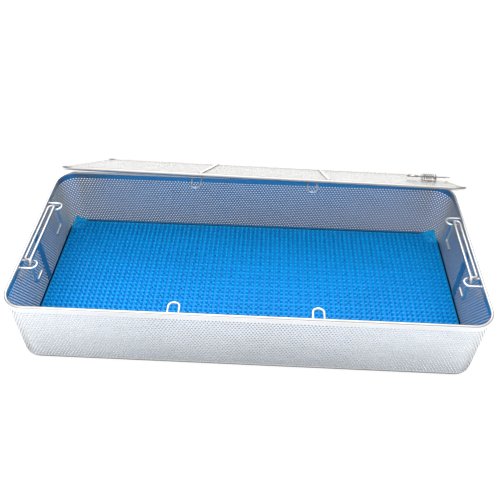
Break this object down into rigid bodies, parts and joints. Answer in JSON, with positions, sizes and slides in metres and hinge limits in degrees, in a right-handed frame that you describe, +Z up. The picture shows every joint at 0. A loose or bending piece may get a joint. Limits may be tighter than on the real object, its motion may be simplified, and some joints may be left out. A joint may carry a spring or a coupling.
{
  "type": "sterilization basket",
  "caption": "Long perforated stainless basket with drop handles, a wire rim with inner loops, a nubbed blue silicone mat and a loose perforated lid with a spring bolt",
  "frame": {"origin": "the middle of the basket's underside, in the plane that stands on the table, midway between the end walls and between the long walls", "axes": "+X along the long walls toward the end where the lid's latch is, +Y from the front wall to the rear wall that the lid leans on, +Z up"},
  "size_m": [0.555, 0.4039, 0.1311],
  "materials": {
    "perforated_sheet": "electropolished perforated stainless sheet, softly reflecting",
    "polished_wire": "bright electropolished stainless wire",
    "latch_steel": "bright stainless spring steel and strip",
    "blue_silicone": "soft matte silicone with rows of round nubs and drain holes"
  },
  "bodies": {
    "basket": {"floor_pan": "perforated_sheet", "front_wall_band": "perforated_sheet", "rear_wall_band": "perforated_sheet", "rim_wire": "polished_wire", "front_loop_left": "polished_wire", "front_loop_right": "polished_wire", "rear_loop_left": "polished_wire", "rear_loop_right": "polished_wire", "left_loop_front": "polished_wire", "left_loop_rear": "polished_wire", "right_loop_front": "polished_wire", "right_loop_rear": "polished_wire"},
    "mat": {"silicone_mat": "blue_silicone"},
    "left_handle": {"left_handle_bail": "polished_wire", "left_grip_bar": "polished_wire"},
    "right_handle": {"right_handle_bail": "polished_wire", "right_grip_bar": "polished_wire"},
    "lid": {"lid_frame_wire": "polished_wire", "lid_sheet": "perforated_sheet", "lid_rib_left": "polished_wire", "lid_rib_right": "polished_wire", "latch_bracket": "latch_steel", "latch_spring": "latch_steel"},
    "latch": {"latch_bolt": "latch_steel"}
  },
  "joints": [
    {"name": "left_handle_lift", "type": "slide", "parent": "basket", "child": "left_handle", "axis": [0, 0, 1], "range_m": [0, 0.0284]},
    {"name": "right_handle_lift", "type": "slide", "parent": "basket", "child": "right_handle", "axis": [0, 0, 1], "range_m": [0, 0.0284]},
    {"name": "mat_lift", "type": "slide", "parent": "basket", "child": "mat", "axis": [0, 0, 1], "range_m": [0, 0.045]},
    {"name": "lid_lift", "type": "slide", "parent": "basket", "child": "lid", "axis": [0, 0, 1], "range_m": [0, 0.15]},
    {"name": "latch_pull", "type": "slide", "parent": "lid", "child": "latch", "axis": [-0.9997, 0.0262, 0], "range_m": [0, 0.006], "deforming": ["latch_spring"]}
  ]
}
